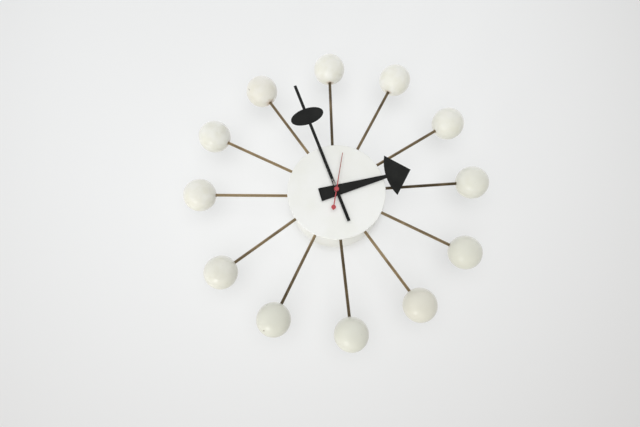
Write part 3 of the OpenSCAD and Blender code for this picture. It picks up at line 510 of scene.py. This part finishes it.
def made_by(tree, source, values):
    """Plain mesh that a tree makes of a source mesh, with the tree's inputs set by name."""
    holder = bpy.data.objects.new(source.name, source)
    bpy.context.scene.collection.objects.link(holder)
    modifier = holder.modifiers.new(tree.name, "NODES")
    modifier.node_group = tree
    for socket in tree.interface.items_tree:
        if socket.name in values:
            modifier[socket.identifier] = values[socket.name]
    depsgraph = bpy.context.evaluated_depsgraph_get()
    mesh = bpy.data.meshes.new_from_object(
        holder.evaluated_get(depsgraph), preserve_all_data_layers=True, depsgraph=depsgraph)
    bpy.data.objects.remove(holder)
    return mesh


def face_outwards(mesh, sharp_degrees):
    """Points the faces outwards and shades them smooth but for edges sharper than the angle."""
    form = bmesh.new()
    form.from_mesh(mesh)
    bmesh.ops.recalc_face_normals(form, faces=form.faces)
    form.to_mesh(mesh)
    form.free()
    mesh.shade_smooth()
    mesh.set_sharp_from_angle(angle=math.radians(sharp_degrees))
    return mesh


TURNED = turned_tree()


def turned(name, points, finish, steps, unevenness=0.0, lump=10 * MM, seed=0.0, sharp_degrees=35):
    """Mesh turned about the Z axis from the points (radius, height) of its profile."""
    profile = bpy.data.meshes.new(name)
    edges = [(i, i + 1) for i in range(len(points) - 1)]
    profile.from_pydata([(r, 0, h) for r, h in points], edges, [])
    along = profile.attributes.new("along", "FLOAT", "POINT")
    travelled = 0.0
    for i, (r, h) in enumerate(points):
        if i:
            travelled += math.dist(points[i - 1], (r, h))
        along.data[i].value = travelled
    girth = 2 * math.pi * max(r for r, h in points)
    values = {"Steps Around": steps, "Girth": girth, "Unevenness": unevenness, "Lump Size": lump,
              "Seed": seed, "Finish": finish}
    return face_outwards(made_by(TURNED, profile, values), sharp_degrees)


def arc(centre_x, centre_y, radius, start, end, steps):
    """Points along an arc between two angles in degrees."""
    angles = [math.radians(start + (end - start) * i / steps) for i in range(steps + 1)]
    return [(centre_x + radius * math.cos(a), centre_y + radius * math.sin(a)) for a in angles]


def inset(loop, distance):
    """Outline moved into the sheet, which lies on the left of its direction."""
    moved = []
    for i, here in enumerate(loop):
        before, after = Vector(loop[i - 1]), Vector(loop[(i + 1) % len(loop)])
        here = Vector(here)
        arriving = (here - before).normalized()
        leaving = (after - here).normalized()
        left_in = Vector((-arriving.y, arriving.x))
        left_out = Vector((-leaving.y, leaving.x))
        moved.append(here + (left_in + left_out) * distance / (1 + left_in.dot(left_out)))
    return moved


def sheet_piece(name, loops, underside, top, edge, finish):
    """Flat sheet between two heights, with rounded edges. The outer loop runs anticlockwise and a hole's
    loop clockwise."""
    quarter = [math.radians(a) for a in (0, 30, 60, 90)]
    levels = [(edge * (1 - math.sin(a)), underside + edge * (1 - math.cos(a))) for a in quarter]
    levels += [(depth, underside + top - z) for depth, z in reversed(levels)]
    form = bmesh.new()
    rims = ([], [])
    for loop in loops:
        rings = [[form.verts.new((*p, z)) for p in inset(loop, depth)] for depth, z in levels]
        for low, high in zip(rings, rings[1:]):
            for i in range(len(loop)):
                form.faces.new((low[i - 1], low[i], high[i], high[i - 1]))
        for rim, ring in zip(rims, (rings[0], rings[-1])):
            rim.extend(form.edges.get((ring[i - 1], ring[i])) for i in range(len(ring)))
    for rim in rims:
        bmesh.ops.triangle_fill(form, use_beauty=True, edges=rim)
    mesh = bpy.data.meshes.new(name)
    form.to_mesh(mesh)
    form.free()
    mesh.materials.append(finish)
    return face_outwards(mesh, sharp_degrees=12)


def circle_hole(radius, steps=48):
    """Clockwise loop of a round hole at the axis."""
    return arc(0, 0, radius, 360, 360 / steps, steps - 1)


def put(name, mesh, body, slot, *replaced):
    """Shows a mesh as a piece that rides on a body and stands for CAD nodes."""
    piece = bpy.data.objects.new(name, mesh)
    bpy.context.scene.collection.objects.link(piece)
    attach(piece, body)
    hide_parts(*replaced)
    return piece


def joined(name, *meshes):
    """One mesh of several, with the first one's finish."""
    form = bmesh.new()
    for mesh in meshes:
        form.from_mesh(mesh)
    whole = bpy.data.meshes.new(name)
    form.to_mesh(whole)
    form.free()
    whole.materials.append(meshes[0].materials[0])
    return whole


# Balls and spokes

def spoke_place(foot, direction):
    """Place of a form drawn along +Z, on a spoke, with its seam towards the wall."""
    seam = Vector((0, 1, 0))
    turn = Matrix((seam, direction.cross(seam), direction)).transposed()
    return Matrix.Translation(foot) @ turn.to_4x4()


def store(mesh, name, values):
    """Puts one number for each point on a mesh."""
    attribute = mesh.attributes.new(name, "FLOAT", "POINT")
    attribute.data.foreach_set("value", values)


# What the photographed balls show, by hour: how brown the paint is round the rod, which is little on the
# others, how pink it is and how yellowed
STAINED = {1: 0.4, 12: 0.5, 11: 0.75, 10: 0.3, 2: 0.2}
LITTLE_STAINED = 0.1
PINK = {5: 0.15, 8: 0.05, 9: 0.05, 11: 0.15}
YELLOWED = {1: 0.05, 2: 0.33, 3: 0.62, 4: 0.93, 5: 1.0, 6: 0.9, 7: 0.96, 8: 0.58,
            9: 0.2, 10: 0.17, 11: 0.16, 12: 0.07}
# How dark each rod has tarnished at the drum and at its ball, from twelve o'clock round to eleven, as what
# is added to its blots
TARNISH = [(0.72, 0.62), (0.49, 0.70), (0.36, 0.70), (0.65, 0.73), (0.22, 0.50), (0.14, 0.14),
           (0.64, 0.56), (0.24, 0.88), (0.30, 0.45), (-0.1, 0.28), (0.06, 0.28), (0.22, 0.42)]
# Chips, by hour: where they are on the ball as a clock angle and a tilt to the front, with their radius and
# depth, and how soon from a chip's edge its wood is quite bare
CHIPS = {
    7: ((222, 40, 1.0 * MM, 0.4 * MM), (341, 27, 0.9 * MM, 0.35 * MM)),
    11: ((255, 42, 0.8 * MM, 0.3 * MM), (262, 38, 0.6 * MM, 0.25 * MM)),
}
CHIP_BARENESS = 1.6


def chip_ball(mesh, centre, chips):
    """Dents a ball at its chips and marks the bare wood there."""
    bare = [0.0] * len(mesh.vertices)
    for clock, tilt, radius, depth in chips:
        flat = math.cos(math.radians(tilt))
        towards = Vector((flat * math.sin(math.radians(clock)), -math.sin(math.radians(tilt)),
                          flat * math.cos(math.radians(clock))))
        spot = centre + towards * ball_r
        for i, vertex in enumerate(mesh.vertices):
            nearness = 1 - (vertex.co - spot).length / radius
            if nearness > 0:
                bare[i] = max(bare[i], min(1.0, CHIP_BARENESS * nearness))
                vertex.co -= towards * depth * nearness
    store(mesh, "chipped", bare)


lip = arc(BALL_HOLE_R + LIP_R, -ball_r + LIP_DEPTH, LIP_R, 180, 255, steps=5)
lip_angle = math.asin(lip[-1][0] / ball_r)
shell_angles = [lip_angle + (math.pi - lip_angle) * i / BALL_STEPS for i in range(1, BALL_STEPS + 1)]
ball_profile = [(0, BALL_HOLE_DEPTH - ball_r), (BALL_HOLE_R, BALL_HOLE_DEPTH - ball_r), *lip]
ball_profile += [(ball_r * math.sin(a), -ball_r * math.cos(a)) for a in shell_angles]

for hour in HOURS:
    clock = math.radians(30 * hour)
    low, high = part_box("ball_%02d" % hour)
    centre = (low + high) / 2
    foot = Vector((drum_r * math.sin(clock), spoke_y, drum_r * math.cos(clock)))
    reach = (centre - foot).length
    direction = (centre - foot).normalized()
    straight = Vector((math.sin(clock), 0, math.cos(clock)))

    ball = turned("painted_ball_%02d" % hour, ball_profile, finishes["painted_wood"], BALL_STEPS_AROUND,
                  unevenness=BALL_UNEVENNESS, lump=BALL_LUMP, seed=BALL_SEED * hour)
    ball.transform(spoke_place(centre, direction))
    hole = centre - direction * ball_r
    store(ball, "from_hole", [(v.co - hole).length for v in ball.vertices])
    store(ball, "stained", [STAINED.get(hour, LITTLE_STAINED)] * len(ball.vertices))
    store(ball, "pink", [PINK.get(hour, 0.0)] * len(ball.vertices))
    store(ball, "yellowed", [YELLOWED[hour]] * len(ball.vertices))
    chip_ball(ball, centre, CHIPS.get(hour, ()))
    put("painted_ball_%02d" % hour, ball, "case", "painted_wood", "ball_%02d" % hour)

    rod_end = reach - ball_r + BALL_HOLE_DEPTH - SPOKE_END_GAP
    rod_length = rod_end + SHOULDER_IN
    rod_profile = [(0, -THREAD_L), (THREAD_R - THREAD_CHAMFER, -THREAD_L),
                   (THREAD_R, -THREAD_L + THREAD_CHAMFER), (THREAD_R, -SHOULDER_IN)]
    rod_profile += [(SPOKE_R, -SHOULDER_IN + rod_length * i / SPOKE_STEPS)
                    for i in range(SPOKE_STEPS + 1)]
    rod_profile += [(0, rod_end)]
    rod = turned("brass_spoke_%02d" % hour, rod_profile, finishes["aged_brass"], SPOKE_STEPS_AROUND,
                 unevenness=SPOKE_UNEVENNESS, lump=SPOKE_LUMP, seed=SPOKE_SEED * hour)
    leaning = spoke_place(foot, direction)
    upright = spoke_place(foot, straight)
    at_drum, at_ball = TARNISH[hour % 12]
    store(rod, "rod", [STREAK_SEED * hour] * len(rod.vertices))
    store(rod, "dark", [at_drum + (at_ball - at_drum) * v.co.z / reach for v in rod.vertices])
    for vertex in rod.vertices:
        vertex.co = (leaning if vertex.co.z > LEAN_FROM else upright) @ vertex.co
    put("brass_spoke_%02d" % hour, rod, "case", "aged_brass", "spoke_%02d" % hour)


# Hands

def hour_outline():
    """Outline of the hour hand at twelve: a blade that widens to its tail, and a curved-back arrowhead."""
    corner_y = HOUR_L - ARROW_L
    back_y = corner_y - ARROW_BULGE
    arc_r = (ARROW_W ** 2 / 4 + ARROW_BULGE ** 2) / 2 / ARROW_BULGE
    spread = math.degrees(math.asin(ARROW_W / 2 / arc_r))
    neck = math.degrees(math.asin(HOUR_NECK_W / 2 / arc_r))
    right_back = arc(0, back_y + arc_r, arc_r, -90 + neck, -90 + spread, steps=14)
    left_back = arc(0, back_y + arc_r, arc_r, -90 - spread, -90 - neck, steps=14)
    tail = [(-HOUR_TAIL_W / 2, -HOUR_TAIL), (HOUR_TAIL_W / 2, -HOUR_TAIL)]
    return [*tail, *right_back, (0, HOUR_L), *left_back]


def minute_outline():
    """Outline of the minute hand at twelve: a thin bar with a boss at the axis and an oval across it."""
    half = MINUTE_W / 2
    boss_angle = math.degrees(math.acos(half / MINUTE_BOSS_R))
    boss = arc(0, 0, MINUTE_BOSS_R, -boss_angle, boss_angle, steps=16)
    spread = math.acos(half / (OVAL_W / 2))
    steps = 80
    angles = [spread * (2 * i / steps - 1) for i in range(steps + 1)]
    oval = [(OVAL_W / 2 * math.cos(a), OVAL_AT + OVAL_H / 2 * math.sin(a)) for a in angles]
    right = [(half, -MINUTE_TAIL), *boss, *oval, (half, MINUTE_L)]
    left = [(-x, y) for x, y in reversed(right)]
    return [*right, *left]


def second_outline():
    """Outline of the second hand at twelve: a needle with a drop-shaped weight on its tail."""
    tangent = math.degrees(math.acos(WEIGHT_R / WEIGHT_POINT))
    neck = math.degrees(math.acos(NEEDLE_W / 2 / WEIGHT_R))
    weight = arc(0, -WEIGHT_AT, WEIGHT_R, -90 + tangent, neck, steps=20)
    mirrored = [(-x, y) for x, y in reversed(weight)]
    right = [(0, -WEIGHT_AT - WEIGHT_POINT), *weight, (NEEDLE_W / 2, 0), (NEEDLE_TIP_W / 2, SECOND_L)]
    return [*right, (-NEEDLE_TIP_W / 2, SECOND_L), (-NEEDLE_W / 2, 0), *mirrored]


black = finishes["black_hand_paint"]
red = finishes["red_hand_paint"]

hour_hand = sheet_piece("hour_hand_sheet", [hour_outline(), circle_hole(HOUR_HOLE_R)],
                        -hour_high.y, -hour_low.y, HAND_EDGE, black)
hour_hand.transform(HUNG @ Matrix.Rotation(-HOUR_TURN, 4, "Z"))
put("black_hour_hand", hour_hand, "hours", "black_hand_paint", "hour_hand")

minute_hand = sheet_piece("minute_hand_sheet", [minute_outline(), circle_hole(MINUTE_HOLE_R)],
                          -minute_high.y, -minute_low.y, HAND_EDGE, black)
minute_hand.transform(HUNG @ Matrix.Rotation(-MINUTE_TURN, 4, "Z"))
put("black_minute_hand", minute_hand, "minutes", "black_hand_paint", "minute_hand")

cap_top = -second_low.y
needle_top = cap_top - CAP_T
needle = sheet_piece("second_hand_needle", [second_outline()],
                     needle_top - NEEDLE_T, needle_top, NEEDLE_EDGE, red)
dome = arc(CAP_R - CAP_ROUND, cap_top - CAP_ROUND, CAP_ROUND, 0, 80, steps=6)
cap_profile = [(0, -second_high.y), (CAP_STEM_R, -second_high.y), (CAP_STEM_R, needle_top),
               (CAP_R, needle_top), *dome, (0, cap_top)]
cap = turned("second_hand_cap", cap_profile, red, steps=48)
second_hand = joined("red_second_hand", needle, cap)
second_hand.transform(HUNG @ Matrix.Rotation(-SECOND_TURN, 4, "Z"))
put("red_second_hand", second_hand, "seconds", "red_hand_paint", "second_hand")


# Every other CAD node keeps its shape and gets its finish
for part in frame["record"]["subparts"]:
    node = frame["nodes"][part["node"]]
    for slot in node.material_slots:
        slot.material = finishes[part["material_slot"]]


# Wall, light and camera

# Wall, in metres: its size and its gap behind the clock, its palest point, and how far from there it greys
# and then glows more
WALL_SIZE = 40.0
WALL_GAP = 0.2 * MM
WALL_PALEST = (-0.08, 0, 0.26)
GREYS_FROM = 0.2
GREYS_TO = 1.0
GLOWS_FROM = 0.7
GLOWS_TO = 1.3
FAR_GLOW = 1.85
# Beside the drum: how far the ring of contact shadow reaches and how dark it is, how far the dimmer glow
# reaches, and the share of the glow at the drum and away from it
RING_REACH = 8 * MM
RING_DARKNESS = 0.15
DIMMER_REACH = 7 * MM
GLOW_AT_DRUM = 0.1
GLOW_AWAY = 0.56


def wall_paint():
    # Matt emulsion on a plastered wall, seen from its front only, with a painted falloff of light: palest
    # above the clock and greyer away from there. Part of it glows, for the light that goes to and fro
    # between a white wall and a white clock and takes the depth out of the shadows. The glow dims at the
    # drum, where a soft dark ring stands for the shadow of contact, and it grows far off, so that the wall
    # stays pale there too.
    material, tree, shader, coords = new_finish("white_wall_emulsion", Roughness=0.9,
                                               Specular_IOR_Level=0.1)
    from_palest = add(tree, "ShaderNodeVectorMath", {0: coords, 1: WALL_PALEST}, operation="DISTANCE")
    # painted light falloff: greyer away from the palest point
    fade = add(tree, "ShaderNodeMapRange",
               {"Value": from_palest.outputs["Value"], "From Min": GREYS_FROM, "From Max": GREYS_TO},
               interpolation_type="SMOOTHSTEP")
    painted_falloff = add(tree, "ShaderNodeMix",
                {0: fade.outputs[0], 6: hex_colour("F3F4F4"), 7: hex_colour("C7C5C3")}, data_type="RGBA")
    across = add(tree, "ShaderNodeVectorMath", {0: coords, 1: (1, 0, 1)}, operation="MULTIPLY")
    from_axis = add(tree, "ShaderNodeVectorMath", {0: across.outputs[0]}, operation="LENGTH")
    ring = add(tree, "ShaderNodeMapRange",
               {"Value": from_axis.outputs["Value"], "From Min": drum_r, "From Max": drum_r + RING_REACH,
                "To Min": RING_DARKNESS, "To Max": 0.0})
    colour = add(tree, "ShaderNodeMix",
                 {0: ring.outputs[0], 6: painted_falloff.outputs[2], 7: hex_colour("C8C6C2")}, data_type="RGBA")
    tree.links.new(colour.outputs[2], shader["Base Color"])
    behind = add(tree, "ShaderNodeNewGeometry").outputs["Backfacing"]
    clear = add(tree, "ShaderNodeBsdfTransparent")
    far_off = add(tree, "ShaderNodeMapRange",
                  {"Value": from_palest.outputs["Value"], "From Min": GLOWS_FROM, "From Max": GLOWS_TO,
                   "To Min": 1.0, "To Max": FAR_GLOW}, interpolation_type="SMOOTHSTEP")
    glow = add(tree, "ShaderNodeEmission", {"Color": colour.outputs[2], "Strength": far_off.outputs[0]})
    share = add(tree, "ShaderNodeMapRange",
                {"Value": from_axis.outputs["Value"], "From Min": drum_r,
                 "From Max": drum_r + DIMMER_REACH, "To Min": GLOW_AT_DRUM, "To Max": GLOW_AWAY})
    front = add(tree, "ShaderNodeMixShader",
                {0: share.outputs[0], 1: tree.nodes["Principled BSDF"].outputs[0], 2: glow.outputs[0]})
    seen = add(tree, "ShaderNodeMixShader", {0: behind, 1: front.outputs[0], 2: clear.outputs[0]})
    tree.links.new(seen.outputs[0], tree.nodes["Material Output"].inputs["Surface"])
    return material


half_wall = WALL_SIZE / 2
wall_corners = [(x * half_wall, WALL_GAP, z * half_wall) for x, z in ((-1, -1), (1, -1), (1, 1), (-1, 1))]
wall_mesh = bpy.data.meshes.new("wall")
wall_mesh.from_pydata(wall_corners, [], [(0, 1, 2, 3)])
wall_mesh.materials.append(wall_paint())
wall = bpy.data.objects.new("wall", wall_mesh)
bpy.context.scene.collection.objects.link(wall)
# The wall only shows. The room's light stands for what it would throw back, and lights the back too.
wall.visible_diffuse = False
wall.visible_glossy = False
wall.visible_transmission = False
wall.visible_shadow = False


def lamp(name, place, size, level, shows):
    """Soft square lamp, aimed at the clock, that lights a white sheet facing it there to the given level.
    It may show in what shines."""
    half = size / 2 / Vector(place).length
    slant = math.sqrt(1 + half ** 2)
    share_of_sky = 4 / math.pi * half / slant * math.atan(half / slant)
    data = bpy.data.lights.new(name, "AREA")
    data.shape = "SQUARE"
    data.size = size
    data.energy = level * math.pi * size ** 2 / share_of_sky
    light = bpy.data.objects.new(name, data)
    light.location = place
    light.rotation_mode = "QUATERNION"
    light.rotation_quaternion = Vector(place).to_track_quat("Z", "Y")
    light.visible_glossy = shows
    bpy.context.scene.collection.objects.link(light)


lamp("low_window", (-0.53, -0.40, -0.85), size=0.3, level=0.11, shows=True)
lamp("front_lamp", (0, -1.6, 0), size=1.1, level=0.2, shows=False)
lamp("camera_side", (-0.06, -1.54, -0.43), size=1.6, level=0.45, shows=False)

# Directions in the room: its brighter side, two leaning axes between which its light is uneven, and the
# camera's side
BRIGHTER_SIDE = (-0.8, 0.1, 0.7)
LEANING_ACROSS = (0.97, 0, 0.24)
LEANING_UP = (-0.24, 0, 0.97)
CAMERA_SIDE = (-0.04, -0.96, -0.27)
# Levels of light, where 1 is white: from the front, along the wall and less from behind it, how much the
# brighter side adds, and how uneven the corners are
FRONT_LEVEL = 0.27
SIDE_LEVEL = 1.26
LESS_BEHIND = -0.7
BRIGHTER_BY = 0.23
CORNERS_BY = 0.7
# Levels that what shines sees, all round, on the camera's side and added by the ceiling, and the level
# seen past the wall
MIRRORED_LEVEL = 0.9
MIRRORED_DARK = 0.15
CEILING_BY = 0.25
SEEN_LEVEL = 0.85


def room_light():
    """Light that a white wall throws back along itself, with little from the front, which two lamps light.
    It is brighter from the left and above, uneven from corner to corner, and warmer from below. What
    shines sees a pale room, paler above, with the dark of the camera's side in it."""
    world = bpy.data.worlds.new("white_room")
    world.use_nodes = True
    tree = world.node_tree
    towards = add(tree, "ShaderNodeTexCoord").outputs["Generated"]
    sides = add(tree, "ShaderNodeSeparateXYZ", {0: towards}).outputs
    wall_side = add(tree, "ShaderNodeMapRange",
                    {"Value": sides["Y"], "From Min": -0.35, "From Max": 0.05,
                     "To Min": FRONT_LEVEL, "To Max": SIDE_LEVEL}, interpolation_type="SMOOTHSTEP")
    behind = add(tree, "ShaderNodeMapRange",
                 {"Value": sides["Y"], "From Min": 0.3, "To Max": LESS_BEHIND})
    thrown_back = add(tree, "ShaderNodeMath",
                      {0: wall_side.outputs[0], 1: behind.outputs[0]}, operation="ADD")
    bright = add(tree, "ShaderNodeVectorMath", {0: towards, 1: BRIGHTER_SIDE}, operation="DOT_PRODUCT")
    across = add(tree, "ShaderNodeVectorMath", {0: towards, 1: LEANING_ACROSS}, operation="DOT_PRODUCT")
    upwards = add(tree, "ShaderNodeVectorMath", {0: towards, 1: LEANING_UP}, operation="DOT_PRODUCT")
    corners = add(tree, "ShaderNodeMath",
                  {0: across.outputs["Value"], 1: upwards.outputs["Value"]}, operation="MULTIPLY")
    uneven = add(tree, "ShaderNodeMath",
                 {0: corners.outputs[0], 1: CORNERS_BY, 2: 1.0}, operation="MULTIPLY_ADD")
    patchy = add(tree, "ShaderNodeMath",
                 {0: thrown_back.outputs[0], 1: uneven.outputs[0]}, operation="MULTIPLY")
    soft = add(tree, "ShaderNodeMath",
               {0: bright.outputs["Value"], 1: BRIGHTER_BY, 2: patchy.outputs[0]},
               operation="MULTIPLY_ADD")
    to_camera = add(tree, "ShaderNodeVectorMath", {0: towards, 1: CAMERA_SIDE}, operation="DOT_PRODUCT")
    shining = add(tree, "ShaderNodeMapRange",
                  {"Value": to_camera.outputs["Value"], "From Min": 0.6, "From Max": 0.95,
                   "To Min": MIRRORED_LEVEL, "To Max": MIRRORED_DARK}, interpolation_type="SMOOTHSTEP")
    mirrored = add(tree, "ShaderNodeMath",
                   {0: sides["Z"], 1: CEILING_BY, 2: shining.outputs[0]}, operation="MULTIPLY_ADD")
    ray = add(tree, "ShaderNodeLightPath").outputs
    lighting = add(tree, "ShaderNodeMix",
                   {0: ray["Is Glossy Ray"], 2: soft.outputs[0], 3: mirrored.outputs[0]})
    level = add(tree, "ShaderNodeMix", {0: ray["Is Camera Ray"], 2: lighting.outputs[0], 3: SEEN_LEVEL})
    from_above = add(tree, "ShaderNodeMapRange", {"Value": sides["Z"], "From Min": -1.0})
    tint = add(tree, "ShaderNodeMix",
               {0: from_above.outputs[0], 6: hex_colour("FFFDF6"), 7: hex_colour("FAFBFF")},
               data_type="RGBA")
    tree.links.new(level.outputs[0], tree.nodes["Background"].inputs["Strength"])
    tree.links.new(tint.outputs[2], tree.nodes["Background"].inputs["Color"])
    return world


bpy.context.scene.world = room_light()

# Camera: its focal length in the photograph's pixels, where it stands, where it looks and its upward side
FOCAL_PX = 443.7
IMAGE_W_PX = 640
SENSOR_W_MM = 36
CAMERA_AT = Vector((-0.0212, -0.5073, -0.1346))
CAMERA_LOOKS = Vector((0.004, 0.9712, 0.2382))
CAMERA_UP = Vector((0.0764, -0.2378, 0.9683))

camera = bpy.data.objects.new("camera", bpy.data.cameras.new("camera"))
bpy.context.scene.collection.objects.link(camera)
camera.data.sensor_width = SENSOR_W_MM
camera.data.lens = FOCAL_PX * SENSOR_W_MM / IMAGE_W_PX
camera.data.clip_start = 0.01
looking = CAMERA_LOOKS.normalized()
right = looking.cross(CAMERA_UP).normalized()
up = right.cross(looking)
camera.matrix_world = Matrix((
    (right.x, up.x, -looking.x, CAMERA_AT.x),
    (right.y, up.y, -looking.y, CAMERA_AT.y),
    (right.z, up.z, -looking.z, CAMERA_AT.z),
    (0, 0, 0, 1)))
bpy.context.scene.camera = camera
bpy.context.scene.view_settings.view_transform = "Standard"
